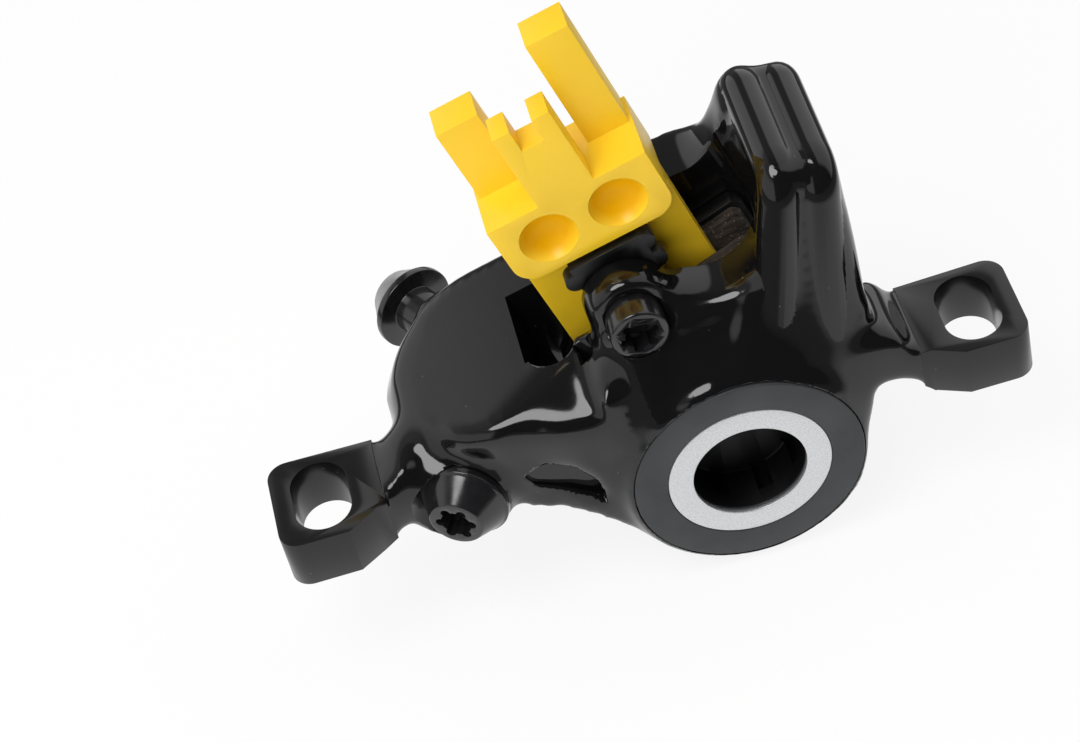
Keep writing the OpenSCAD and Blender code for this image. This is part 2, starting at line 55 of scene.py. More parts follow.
# every piece is worked in millimetres and brought down to metres when it is settled
millimetre = 0.001
toMetres = Matrix.Scale(millimetre, 4)
weld = {"own": 0.0005, "cad": 0.002}  # points this close are joined
tilt = {"origin": (9.1, 9.5, -1.5), "angle": -15}  # frame of the pads and pistons
padFrame = Matrix.Translation(tilt["origin"]) @ Matrix.Rotation(math.radians(tilt["angle"]), 4, "Y")
nearAxis = padFrame @ Matrix.Rotation(math.radians(90), 4, "X")  # Z runs out of the near cylinder
farAxis = padFrame @ Matrix.Rotation(math.radians(-90), 4, "X")


def pick(*objs):
    if bpy.context.object and bpy.context.object.mode != "OBJECT":
        bpy.ops.object.mode_set(mode="OBJECT")
    bpy.ops.object.select_all(action="DESELECT")
    for obj in objs:
        obj.select_set(True)
    bpy.context.view_layer.objects.active = objs[0]


def applyModifier(obj, kind, **settings):
    pick(obj)
    mod = obj.modifiers.new(kind.lower(), kind)
    for key, value in settings.items():
        setattr(mod, key, value)
    bpy.ops.object.modifier_apply(modifier=mod.name)


def move(obj, matrix):
    pick(obj)
    obj.matrix_world = matrix @ obj.matrix_world
    bpy.ops.object.transform_apply(location=True, rotation=True, scale=True)
    return obj


def joinAll(objs):
    pick(*objs)
    bpy.ops.object.join()
    return objs[0]


def carve(obj, tool, operation="DIFFERENCE"):
    applyModifier(obj, "BOOLEAN", object=tool, operation=operation, solver="EXACT")
    bpy.data.objects.remove(tool)


def openMesh(obj):
    pick(obj)
    bpy.ops.object.mode_set(mode="EDIT")
    bpy.ops.mesh.select_all(action="SELECT")


def closeMesh():
    bpy.ops.object.mode_set(mode="OBJECT")


def cleanMesh():
    bpy.ops.mesh.select_all(action="SELECT")
    bpy.ops.mesh.remove_doubles(threshold=weld["own"])
    bpy.ops.mesh.normals_make_consistent(inside=False)
    closeMesh()


def addBox(name, low, high):
    low, high = Vector(low), Vector(high)
    bpy.ops.object.select_all(action="DESELECT")
    bpy.ops.mesh.primitive_cube_add(size=1, location=(low + high) / 2)
    box = bpy.context.object
    box.name = name
    box.scale = high - low
    bpy.ops.object.transform_apply(location=True, rotation=True, scale=True)
    return box


def addRod(name, start, end, radius, sides=72):
    start, end = Vector(start), Vector(end)
    bpy.ops.object.select_all(action="DESELECT")
    bpy.ops.mesh.primitive_cylinder_add(
        vertices=sides, radius=radius, depth=(end - start).length, location=(start + end) / 2,
        rotation=(end - start).to_track_quat("Z", "Y").to_euler())
    rod = bpy.context.object
    rod.name = name
    bpy.ops.object.transform_apply(location=True, rotation=True, scale=True)
    return rod


def addBore(name, span, axis, sides=72):
    # a rod along an axis of its own, from start to end
    start, end, radius = span
    return move(addRod(name, (0, 0, start), (0, 0, end), radius, sides), axis)


def addPrism(name, outline, start, end, corner=0):
    # a flat face with the outline's corners, extruded along Y
    bpy.ops.object.select_all(action="DESELECT")
    bpy.ops.mesh.primitive_circle_add(vertices=len(outline), radius=1, fill_type="NGON")
    prism = bpy.context.object
    prism.name = name
    for vertex, (u, w) in zip(prism.data.vertices, outline):
        vertex.co = (u, start, w)
    openMesh(prism)
    if corner:
        bpy.ops.mesh.bevel(offset=corner, segments=5, affect="VERTICES")
        bpy.ops.mesh.select_all(action="SELECT")
    bpy.ops.mesh.extrude_region_move(TRANSFORM_OT_translate={"value": (0, end - start, 0)})
    bpy.ops.mesh.select_all(action="SELECT")
    bpy.ops.mesh.normals_make_consistent(inside=False)
    closeMesh()
    return prism


def cutAway(piece, place, normal):
    # what lies on the normal's side of the plane goes, and the cut is closed
    openMesh(piece)
    bpy.ops.mesh.bisect(plane_co=place, plane_no=normal, use_fill=True, clear_outer=True)
    closeMesh()


def turnPiece(name, steps, sides=96, closed=True):
    # a circle extruded and resized from step to step, each one (radius, height)
    radius, height = steps[0]
    bpy.ops.object.select_all(action="DESELECT")
    bpy.ops.mesh.primitive_circle_add(
        vertices=sides, radius=radius, location=(0, 0, height), fill_type="NGON" if closed else "NOTHING")
    piece = bpy.context.object
    piece.name = name
    bpy.ops.object.transform_apply(location=True, rotation=True, scale=True)
    openMesh(piece)
    for nextRadius, nextHeight in steps[1:]:
        bpy.ops.mesh.extrude_region_move(TRANSFORM_OT_translate={"value": (0, 0, nextHeight - height)})
        share = nextRadius / radius
        bpy.ops.transform.resize(value=(share, share, 1), center_override=(0, 0, nextHeight))
        radius, height = nextRadius, nextHeight
    cleanMesh()
    return piece


def softenEdges(piece, width, segments=2, angle=28):
    applyModifier(
        piece, "BEVEL", width=width, segments=segments, limit_method="ANGLE", angle_limit=math.radians(angle),
        miter_outer="MITER_ARC", use_clamp_overlap=True)
    shadeSmooth(piece)


def shadeSmooth(piece, angle=32):
    pick(piece)
    bpy.ops.object.shade_smooth_by_angle(angle=math.radians(angle))


def copyNode(node, name):
    piece = bpy.data.objects.new(name, nodes[node].data.copy())
    scene.collection.objects.link(piece)
    piece.data.transform(toMetres.inverted())
    piece.data.materials.clear()
    openMesh(piece)
    bpy.ops.mesh.remove_doubles(threshold=weld["cad"])
    closeMesh()
    return piece


def flattenFaces(piece):
    openMesh(piece)
    bpy.ops.mesh.dissolve_limited(angle_limit=math.radians(0.5))
    closeMesh()


def settle(piece, body, slotName, finish, *replaced):
    move(piece, toMetres)
    piece.data.materials.clear()
    piece.data.materials.append(finish)
    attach(piece, body)
    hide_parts(*replaced)
    print("piece:", piece.name, len(piece.data.polygons), "faces")


# materials

spread = (0.3, 0.7)  # where most of a noise's values lie


def newFinish(name, **sockets):
    finish = bpy.data.materials.new(name)
    finish.use_nodes = True
    tree = finish.node_tree
    shader = tree.nodes["Principled BSDF"]
    for key, value in sockets.items():
        shader.inputs[key].default_value = value
    coords = tree.nodes.new("ShaderNodeTexCoord")
    return finish, tree, shader, coords.outputs["Object"]


def addNoise(tree, vector, scale, detail=4, roughness=0.6):
    noise = tree.nodes.new("ShaderNodeTexNoise")
    noise.inputs["Scale"].default_value = scale
    noise.inputs["Detail"].default_value = detail
    noise.inputs["Roughness"].default_value = roughness
    tree.links.new(vector, noise.inputs["Vector"])
    return noise.outputs["Fac"]


def addCells(tree, vector, scale):
    cells = tree.nodes.new("ShaderNodeTexVoronoi")
    cells.inputs["Scale"].default_value = scale
    tree.links.new(vector, cells.inputs["Vector"])
    return cells.outputs["Distance"]


def addRamp(tree, value, look):
    ramp = tree.nodes.new("ShaderNodeValToRGB")
    colours = look["dark"], look["light"]
    for element, place, colour in zip(ramp.color_ramp.elements, look["stops"], colours):
        element.position = place
        element.color = (*colour, 1)
    tree.links.new(value, ramp.inputs["Fac"])
    return ramp.outputs["Color"]


def addRange(tree, value, low, high, toLow, toHigh):
    span = tree.nodes.new("ShaderNodeMapRange")
    for key, number in zip(("From Min", "From Max", "To Min", "To Max"), (low, high, toLow, toHigh)):
        span.inputs[key].default_value = number
    tree.links.new(value, span.inputs["Value"])
    return span.outputs["Result"]


def addBump(tree, height, strength, distance):
    bump = tree.nodes.new("ShaderNodeBump")
    bump.inputs["Strength"].default_value = strength
    bump.inputs["Distance"].default_value = distance
    tree.links.new(height, bump.inputs["Height"])
    return bump.outputs["Normal"]


def addMath(tree, operation, first, second):
    node = tree.nodes.new("ShaderNodeMath")
    node.operation = operation
    for socket, value in zip(node.inputs, (first, second)):
        if isinstance(value, (int, float)):
            socket.default_value = value
        else:
            tree.links.new(value, socket)
    return node.outputs[0]


def mixColour(tree, share, first, second):
    mix = tree.nodes.new("ShaderNodeMix")
    mix.data_type = "RGBA"
    tree.links.new(share, mix.inputs["Factor"])
    for socket, colour in ((mix.inputs[6], first), (mix.inputs[7], second)):
        if isinstance(colour, tuple):
            socket.default_value = (*colour, 1)
        else:
            tree.links.new(colour, socket)
    return mix.outputs[2]


def turnInto(tree, place, matrix, stretch=(1, 1, 1)):
    # object coordinates brought into another frame, in metres
    turned = tree.nodes.new("ShaderNodeMapping")
    turned.vector_type = "TEXTURE"
    turned.inputs["Location"].default_value = matrix.translation * millimetre
    turned.inputs["Rotation"].default_value = matrix.to_euler()
    turned.inputs["Scale"].default_value = stretch
    tree.links.new(place, turned.inputs["Vector"])
    return turned.outputs["Vector"]


def splitAxes(tree, vector):
    split = tree.nodes.new("ShaderNodeSeparateXYZ")
    tree.links.new(vector, split.inputs[0])
    return split.outputs


def dress(tree, shader, colour, rough, height, bump):
    tree.links.new(colour, shader.inputs["Base Color"])
    tree.links.new(rough, shader.inputs["Roughness"])
    tree.links.new(addBump(tree, height, *bump), shader.inputs["Normal"])


def makeGrainy(name, look, **sockets):
    finish, tree, shader, place = newFinish(name, **sockets)
    cloud = addNoise(tree, place, *look["cloud"])
    grain = addNoise(tree, place, *look["grain"]) if "grain" in look else cloud
    rough = addRange(tree, cloud, *spread, *look["rough"])
    dress(tree, shader, addRamp(tree, cloud, look), rough, grain, look["bump"])
    return finish


paintLook = {
    "black": (0.0045, 0.0045, 0.005), "dust": (0.05, 0.05, 0.05), "gloss": (0.06, 0.1),
    "earGloss": 0.15, "earStart": (0.03, 0.0304),  # the ears are a little duller, from this far out
    "wide": (90, 3), "fine": (2600, 2), "specks": 420, "speckEdge": (0.03, 0.06), "bump": (0.02, 0.00004),
}


def makePaint():
    look = paintLook
    finish, tree, shader, place = newFinish("glossBlackPaint", IOR=1.5)
    wide = addNoise(tree, place, *look["wide"])
    fine = addNoise(tree, place, *look["fine"])
    dust = addRange(tree, addCells(tree, place, look["specks"]), *look["speckEdge"], 1, 0)
    colour = mixColour(tree, dust, look["black"], look["dust"])
    outwards = addMath(tree, "ABSOLUTE", splitAxes(tree, place)["X"], 0)
    onEar = addRange(tree, outwards, *look["earStart"], 0, look["earGloss"])
    gloss = addRange(tree, wide, *spread, *look["gloss"])
    dress(tree, shader, colour, addMath(tree, "ADD", gloss, onEar), fine, look["bump"])
    return finish


capLook = {
    "dark": (0.026, 0.028, 0.03), "light": (0.04, 0.043, 0.046), "stops": (0.3, 0.7), "rough": (0.42, 0.52),
    "black": (0.002, 0.002, 0.002), "shade": (0.0157, 0.016),  # the hole darkens below the ring
    "cloud": (160, 3), "grain": (3800, 3), "bump": (0.12, 0.00005),
}


def makeCapFinish():
    look = capLook
    finish, tree, shader, place = newFinish("charcoalCap", IOR=1.45)
    grain = addNoise(tree, place, *look["grain"])
    cloud = addNoise(tree, place, *look["cloud"])
    along = splitAxes(tree, turnInto(tree, place, nearAxis))["Z"]  # runs out of the cylinder
    deep = addRange(tree, along, *look["shade"], 1, 0)
    colour = mixColour(tree, deep, addRamp(tree, cloud, look), look["black"])
    dress(tree, shader, colour, addRange(tree, grain, *spread, *look["rough"]), grain, look["bump"])
    return finish


spacerLook = {
    "dark": (0.9, 0.57, 0.016), "light": (0.93, 0.62, 0.024), "stops": (0.3, 0.7), "rough": (0.32, 0.4),
    "cloud": (55, 3), "grain": (3000, 3), "bump": (0.05, 0.00005),
    "sockets": {
        "IOR": 1.49, "Subsurface Weight": 0.12, "Subsurface Radius": (0.9, 0.55, 0.1),
        "Subsurface Scale": 0.0006},
    "dimple": (0.84, 0.44, 0.002), "shine": (0.5, 0.12),  # painted shade and bounce light: the two dimples are painted a deeper orange, and they are duller
    "middle": -0.0019, "aside": 0.00415, "height": 0.0338, "rim": (0.0033, 0.0024),
    "mouth": (-0.0047, -0.0042), "floor": (-0.0026, -0.0022),  # the dimples' depth, from front to back
}


def makeSpacerPlastic():
    look = spacerLook
    finish, tree, shader, place = newFinish("yellowPlastic", **look["sockets"])
    cloud = addNoise(tree, place, *look["cloud"])
    grain = addNoise(tree, place, *look["grain"])
    u, y, w = splitAxes(tree, turnInto(tree, place, padFrame))
    # painted shade: a mask for the inside of the two dimples, which get a deeper orange that stands in for
    # shade and bounced light
    aside = addMath(tree, "ABSOLUTE", addMath(tree, "SUBTRACT", u, look["middle"]), 0)
    aside = addMath(tree, "POWER", addMath(tree, "SUBTRACT", aside, look["aside"]), 2)
    height = addMath(tree, "POWER", addMath(tree, "SUBTRACT", w, look["height"]), 2)
    reach = addMath(tree, "POWER", addMath(tree, "ADD", aside, height), 0.5)
    inside = addRange(tree, reach, *look["rim"], 0, 1)
    inside = addMath(tree, "MULTIPLY", inside, addRange(tree, y, *look["floor"], 1, 0))
    inside = addMath(tree, "MULTIPLY", inside, addRange(tree, y, *look["mouth"], 0, 1))
    # the dimples' painted shade is mixed into the plastic's colour here
    colour = mixColour(tree, inside, addRamp(tree, cloud, look), look["dimple"])
    tree.links.new(addRange(tree, inside, 0, 1, *look["shine"]), shader.inputs["Specular IOR Level"])
    dress(tree, shader, colour, addRange(tree, grain, *spread, *look["rough"]), grain, look["bump"])
    return finish


frictionLook = {
    "dark": (0.008, 0.006, 0.005), "light": (0.06, 0.047, 0.037), "stops": (0.35, 0.6), "rough": (0.95, 0.7),
    "metal": (0.2, 0.16, 0.12), "flakes": 2100, "flakeEdge": (0.12, 0.2),
    "grain": (1500, 6, 0.7), "bump": (0.6, 0.00025), "streak": (7, 1, 1),  # drawn out along the pad
}


def makeFriction():
    look = frictionLook
    finish, tree, shader, place = newFinish("frictionCompound", IOR=1.4)
    grain = addNoise(tree, turnInto(tree, place, padFrame, look["streak"]), *look["grain"])
    shine = addRange(tree, addCells(tree, place, look["flakes"]), *look["flakeEdge"], 1, 0)
    colour = mixColour(tree, shine, addRamp(tree, grain, look), look["metal"])
    dress(tree, shader, colour, addRange(tree, grain, *spread, *look["rough"]), grain, look["bump"])
    return finish


blackSteelLook = {
    "dark": (0.006, 0.006, 0.007), "light": (0.012, 0.012, 0.013), "stops": (0.3, 0.75), "rough": (0.12, 0.22),
    "cloud": (700, 5), "grain": (5000, 3), "bump": (0.05, 0.00005),
}
ringLook = {
    "dark": (0.55, 0.56, 0.57), "light": (0.8, 0.81, 0.82), "stops": (0.3, 0.62), "rough": (0.38, 0.55),
    "cloud": (5200, 4, 0.7), "bump": (0.25, 0.00006),
}
plateLook = {
    "dark": (0.002, 0.002, 0.0022), "light": (0.006, 0.006, 0.006), "stops": (0.35, 0.75), "rough": (0.3, 0.5),
    "cloud": (420, 4), "grain": (4200, 3), "bump": (0.2, 0.00006),
}
hiddenLook = {"cloud": (2400, 4), "stops": (0.35, 0.65), "bump": (0.1, 0.00005)}  # shared by what lies inside
pistonLook = hiddenLook | {"dark": (0.5, 0.48, 0.45), "light": (0.68, 0.66, 0.62), "rough": (0.25, 0.4)}
magnetLook = hiddenLook | {"dark": (0.45, 0.45, 0.47), "light": (0.62, 0.62, 0.64), "rough": (0.2, 0.35)}
rubberLook = hiddenLook | {"dark": (0.01, 0.01, 0.01), "light": (0.025, 0.025, 0.025), "rough": (0.55, 0.75)}

paint = makePaint()
capFinish = makeCapFinish()
spacerPlastic = makeSpacerPlastic()
frictionCompound = makeFriction()
blackSteel = makeGrainy("blackedSteel", blackSteelLook, IOR=1.6)
ringMetal = makeGrainy("silverRing", ringLook, Metallic=0.85)
plateFinish = makeGrainy("paintedPlate", plateLook, IOR=1.5)
pistonMetal = makeGrainy("turnedPiston", pistonLook, Metallic=1)
magnetMetal = makeGrainy("platedMagnet", magnetLook, Metallic=1)
sealRubber = makeGrainy("sealRubber", rubberLook, Metallic=0)
print("stage: materials")


# body: a copy of the CAD body is filled, remeshed and smoothed like a casting, then its seats are cut again

bodyShape = {
    "voxel": 0.42, "shadeAngle": 38,
    # along the piston axis: start, end and radius
    "nearFill": (5.5, 16.65, 13.3), "farFill": (5.5, 15.2, 12.8),
    "capSeat": (14.83, 30, 13.24), "capPlug": (12.4, 15, 12.22),
    "nearBore": (4, 15, 11.03), "farBore": (4, 12.9, 11.03),
    # boxes, rods and outlines in the pad frame
    "bridgeFill": ((-16.3, -8.8, 6), (-8.5, 5.6, 19.65)),
    "wallFill": (3, 5.7), "boss": 4.9,
    "pocket": ((-16.1, -5.5, -40), (13.7, 5.5, 70)),
    "scallop": ((-12.8, -4.4, 6), (-12.8, -4.4, 70)), "scallopRadius": 3.1,
    "relief": ((-10.3, -9, 14.6), (-8.4, -6.3, 70)),
    "sideFill": (-13.2, -12.2), "sideCut": (-30, -12.5), "sideCorner": 0.5,
    "bossTip": (8.4, 9.3, 4.6), "column": ((-3.6, -8.4, 20.2), (-5.6, -13.2, 10)), "columnRadius": 4,
    "saddle": (5, 11.6), "scoop": ((8.2, -4.5, 26.4), (8.2, -14, 26.4)), "scoopRadius": 6,
    "shelf": (6, 18.9),
    "slope": (-9, -5.5, 19.65), "slopeRun": (0.9686, 0, -0.2484), "slopeUp": (0.229, -0.387, 0.893),
    "slopeRoom": ((-16, -11.5, 0), (0, 0.2, 12)),
    # the left neck, upright, and the collar of the near port: start, end, radius and how far to the left
    "pit": ((-26.6, 2.4, 0.3), (-26.6, 2.4, 7)), "pitRadius": 3.4,
    "collar": (-5, 2.6, 5), "collarLeft": 2.4,
    "earCut": 30.25, "earRoom": 3, "earLap": 0.12, "earEdge": 0.3,
}
ridgeShape = {
    # bend and foot of each ridge in the pad frame, the same on both sides
    "lines": (((18.5, 8.3, 29.75), (8.7, 12.05, 10)), ((22.2, 8.3, 27.95), (13.8, 11.9, 6.3))),
    "radius": 2.35, "bend": 2.6, "steps": 12, "roundness": 10,
}
wallOutlines = {
    "near": [
        (-16.3, 4), (-16.3, 18), (-8, 18), (-5.5, 22.5), (0.5, 23.5), (4.6, 21.6), (7.9, 20.7), (10.6, 22),
        (13.2, 24.9), (13.2, -4.5), (10, -9), (-12, -8), (-16, 0)],
    "far": [
        (-16.3, 4), (-16.3, 18), (-8, 19), (-5.5, 22.5), (0.5, 24.2), (5, 24.6), (9, 24.2), (11.6, 24.7),
        (13.2, 25.3), (13.2, -4.5), (10, -9), (-12, -8), (-16, 0)],
}
saddleOutline = [
    (-1.5, 12), (-1.5, 19.5), (2, 20.4), (5, 20.3), (9, 20.1), (11.5, 20.8), (13.2, 22.6), (14.5, 15),
    (9, 11)]
shelfOutline = [(-18.5, 8.6), (-18.5, 12.6), (-16.3, 13.9), (-12, 15.2), (-9.2, 15.6), (-9.2, 8.6)]
sidePocket = [(-22, 11.6), (-19, 12.4), (-16.2, 10.4), (-15, 7.2), (-15.6, 3.2), (-18.2, 6.4), (-21.4, 9.4)]
portShape = {
    "x": -21.8, "z": 1.85, "nearY": -1.9, "farY": 29.5, "splay": 28, "farBack": 4.4,
    "shank": 2.92, "length": 7.7, "seat": 4.5, "seatDepth": 0.95, "room": 5.22, "lift": -0.02, "out": 30,
    "fill": (8, 0.05, 4.7),  # from this deep to this far under the face, and its radius
}
padScrewShape = {"u": -2.4, "w": 22.25, "hole": 2.02, "spot": 3.3, "seat": 8.2, "end": 11.1, "out": 40}

nearPort = Matrix.Translation((portShape["x"], portShape["nearY"], portShape["z"])) @ Matrix.Rotation(
    math.radians(-portShape["splay"]), 4, "Z") @ Matrix.Rotation(math.radians(90), 4, "X")
farPort = Matrix.Translation((portShape["x"], portShape["farY"], portShape["z"])) @ Matrix.Rotation(
    math.radians(portShape["splay"]), 4, "Z") @ Matrix.Rotation(math.radians(-90), 4, "X")
screwAxis = nearAxis @ Matrix.Translation((padScrewShape["u"], padScrewShape["w"], 0))


def bodyFillers():
    b, s = bodyShape, padScrewShape
    fillers = [
        addBore("fillNear", b["nearFill"], nearAxis, 128), addBore("fillFar", b["farFill"], farAxis, 128)]
    deep, under, radius = portShape["fill"]
    for matrix, back in ((nearPort, 0), (farPort, portShape["farBack"])):
        fillers.append(addBore("fillPort", (-deep - back, -under - back, radius), matrix))
    # the pad pocket's walls, the screw's boss and the bridge reach into the pocket until it is cut
    fillers.append(move(addBox("fillBridge", *b["bridgeFill"]), padFrame))
    start, end = b["wallFill"]
    for side, outline in ((-1, wallOutlines["near"]), (1, wallOutlines["far"])):
        fillers.append(move(addPrism("fillWall", outline, side * start, side * end), padFrame))
        ends = [(s["u"], side * y, s["w"]) for y in (start, end)]
        fillers.append(move(addRod("fillBoss", *ends, b["boss"]), padFrame))
    # rounder boss, column and port collar than the solids have
    start, end, radius = b["bossTip"]
    ends = [(s["u"], -y, s["w"]) for y in (start, end)]
    fillers.append(move(addRod("fillTip", *ends, radius), padFrame))
    start, end = b["saddle"]
    fillers.append(move(addPrism("fillSaddle", saddleOutline, -start, -end), padFrame))
    fillers.append(move(addRod("fillColumn", *b["column"], b["columnRadius"]), padFrame))
    fillers.append(addRod("fillPit", *b["pit"], b["pitRadius"]))
    fillers.append(addBore("fillCollar", b["collar"], nearPort @ Matrix.Translation((-b["collarLeft"], 0, 0))))
    fillers.append(move(addPrism("fillSide", sidePocket, *b["sideFill"]), padFrame))
    return fillers


def makeShelf():
    # stands beside the cylinder, its outline lies flat
    flat = padFrame @ Matrix.Rotation(math.radians(90), 4, "X")
    return move(addPrism("shelf", shelfOutline, *bodyShape["shelf"]), flat)


def makeRidge(bend, foot):
    # one round ridge over the arch, swept along its line with rounded bends
    r = ridgeShape
    corners = [Vector((u, side * y, w)) for side, (u, y, w) in ((-1, foot), (-1, bend), (1, bend), (1, foot))]
    points = [corners[0]]
    for before, corner, after in zip(corners, corners[1:], corners[2:]):
        start = corner + (before - corner).normalized() * r["bend"]
        end = corner + (after - corner).normalized() * r["bend"]
        for turn in range(r["steps"] + 1):
            t = turn / r["steps"]
            points.append(start * (1 - t) ** 2 + corner * 2 * t * (1 - t) + end * t ** 2)
    points.append(corners[-1])
    line = bpy.data.curves.new("ridge", "CURVE")
    line.dimensions = "3D"
    line.bevel_depth, line.bevel_resolution, line.use_fill_caps = r["radius"], r["roundness"], True
    spline = line.splines.new("POLY")
    spline.points.add(len(points) - 1)
    for target, point in zip(spline.points, points):
        target.co = (*point, 1)
    ridge = bpy.data.objects.new("ridge", line)
    scene.collection.objects.link(ridge)
    pick(ridge)
    bpy.ops.object.convert(target="MESH")
    ridge = bpy.context.object
    openMesh(ridge)
    cleanMesh()
    return move(ridge, padFrame)


def bodyCutters():
    b, p, s = bodyShape, portShape, padScrewShape
    cutters = [addBore("cutCap", b[key], nearAxis, 160) for key in ("capSeat", "nearBore", "capPlug")]
    cutters.append(addBore("cutFarBore", b["farBore"], farAxis, 160))
    cutters.append(move(addBox("cutPocket", *b["pocket"]), padFrame))
    cutters.append(move(addRod("cutScallop", *b["scallop"], b["scallopRadius"]), padFrame))
    cutters.append(move(addBox("cutRelief", *b["relief"]), padFrame))
    cutters.append(move(addPrism("cutSide", sidePocket, *b["sideCut"], b["sideCorner"]), padFrame))
    for matrix, lift in ((nearPort, 0), (farPort, -p["farBack"])):
        top = lift + p["out"]
        cutters.append(addBore("cutDrill", (lift - p["length"], top, p["shank"]), matrix))
        cutters.append(addBore("cutSeat", (lift - p["seatDepth"], top, p["seat"]), matrix))
    cutters.append(addBore("cutRoom", (p["lift"], p["out"], p["room"]), nearPort, 96))
    cutters.append(addBore("cutScrew", (-s["end"], s["out"], s["hole"]), screwAxis))
    cutters.append(addBore("cutSpot", (s["seat"], s["out"], s["spot"]), screwAxis, 96))
    return cutters


def neighbourMean(values, pairs, counts):
    total = np.zeros_like(values)
    for axis in range(values.shape[1]):
        total[:, axis] = np.bincount(pairs[:, 0], values[pairs[:, 1], axis], len(values))
        total[:, axis] += np.bincount(pairs[:, 1], values[pairs[:, 0], axis], len(values))
    return total / counts[:, None]


def step(value, low, high):
    share = np.clip((value - low) / (high - low), 0, 1)
    return share * share * (3 - 2 * share)


def meshArrays(piece):
    mesh = piece.data
    co = np.zeros(len(mesh.vertices) * 3)
    mesh.vertices.foreach_get("co", co)
    normal = np.zeros(len(mesh.vertices) * 3)
    mesh.vertices.foreach_get("normal", normal)
    pairs = np.zeros(len(mesh.edges) * 2, int)
    mesh.edges.foreach_get("vertices", pairs)
    pairs = pairs.reshape(-1, 2)
    counts = np.bincount(pairs.ravel(), minlength=len(mesh.vertices)).astype(float)
    return co.reshape(-1, 3), normal.reshape(-1, 3), pairs, counts


smoothTurns = {
    "soft": 7, "hollow": 40, "neck": 50, "pit": 110, "saddle": 60, "ribs": 90, "crest": 25, "shelf": 90,
}
smoothZones = {
    # where each one starts, from none to full, and where it ends, in millimetres
    "ear": (29.9, 30.3), "pocket": (5.5, 6.3), "neck": (21, 23),
    "crest": {"u": (11.5, 13.5), "deep": (8, 10), "w": (24, 26)},
    "ribs": {"u": (9, 11), "w": (9, 11), "deep": (6.5, 7.5)},
    "pit": {"left": (22, 24), "low": (1, 3), "high": (8, 10), "back": (9, 13)},
    "saddle": {"left": (1, 3), "right": (11, 13), "low": (9, 11), "high": (25, 27), "near": (5.9, 6.5)},
    "shelf": {"left": (-23, -18), "right": (-8, -5.5), "near": (6, 8), "low": (10, 13)},
}
smoothRules = {"depth": 0.012, "grow": 10, "keep": 0.97, "blur": 6, "levels": 20, "crestHeld": 0.35}


def smoothPart(piece, name, weights):
    group = piece.vertex_groups.new(name=name)
    count = smoothRules["levels"]
    levels = np.round(np.clip(weights, 0, 1) * count).astype(int)
    for level in range(1, count + 1):
        picked = np.nonzero(levels == level)[0]
        if len(picked):
            group.add(picked.tolist(), level / count, "REPLACE")
    applyModifier(piece, "SMOOTH", factor=0.5, iterations=smoothTurns[name], vertex_group=name)


def findHollows(piece):
    # inner corners of the casting, spread a little and blurred
    h = smoothRules
    co, normal, pairs, counts = meshArrays(piece)
    hollow = ((neighbourMean(co, pairs, counts) - co) * normal).sum(1)
    hollow = np.clip(hollow / h["depth"], 0, 1)[:, None]
    for turn in range(h["grow"]):
        hollow = np.maximum(hollow, h["keep"] * neighbourMean(hollow, pairs, counts))
    for turn in range(h["blur"]):
        hollow = neighbourMean(hollow, pairs, counts)
    return co, hollow[:, 0]


def smoothBody(piece):
    toPad = np.array(padFrame.inverted())
    co = meshArrays(piece)[0]
    u, y, w = (co @ toPad[:3, :3].T + toPad[:3, 3]).T
    deep = np.abs(y)
    outwards = np.abs(co[:, 0])
    casting = 1 - step(outwards, *smoothZones["ear"])  # the ears stay flat
    z = smoothZones["crest"]
    crest = step(u, *z["u"]) * (1 - step(deep, *z["deep"])) * step(w, *z["w"])
    z = smoothZones["ribs"]
    ribs = step(u, *z["u"]) * step(w, *z["w"]) * step(deep, *z["deep"])
    smoothPart(piece, "soft", casting * (1 - smoothRules["crestHeld"] * crest))
    co, hollow = findHollows(piece)
    smoothPart(piece, "hollow", hollow * casting * step(deep, *smoothZones["pocket"]) * (1 - crest))
    smoothPart(piece, "neck", step(outwards, *smoothZones["neck"]) * casting)
    x, back, height = co.T
    z = smoothZones["pit"]
    pit = step(-x, *z["left"]) * casting * step(height, *z["low"]) * (1 - step(height, *z["high"]))
    smoothPart(piece, "pit", pit * (1 - step(back, *z["back"])))
    z = smoothZones["saddle"]
    saddle = step(u, *z["left"]) * (1 - step(u, *z["right"])) * step(w, *z["low"]) * (1 - step(w, *z["high"]))
    smoothPart(piece, "saddle", saddle * step(-y, *z["near"]))
    smoothPart(piece, "ribs", ribs)  # the ridges are added crisp afterwards
    smoothPart(piece, "crest", crest)
    z = smoothZones["shelf"]
    shelf = step(u, *z["left"]) * (1 - step(u, *z["right"])) * step(-y, *z["near"]) * step(w, *z["low"])
    smoothPart(piece, "shelf", shelf)


def makeEar(side):
    # the ears are machined flat, so they come straight from the CAD copy with a fine edge break
    b = bodyShape
    ear = copyNode("caliper_body", "ear")
    cutAway(ear, (side * (b["earCut"] - b["earRoom"]), 0, 0), (-side, 0, 0))
    flattenFaces(ear)
    softenEdges(ear, b["earEdge"], 2)
    cutAway(ear, (side * b["earCut"], 0, 0), (-side, 0, 0))
    return ear


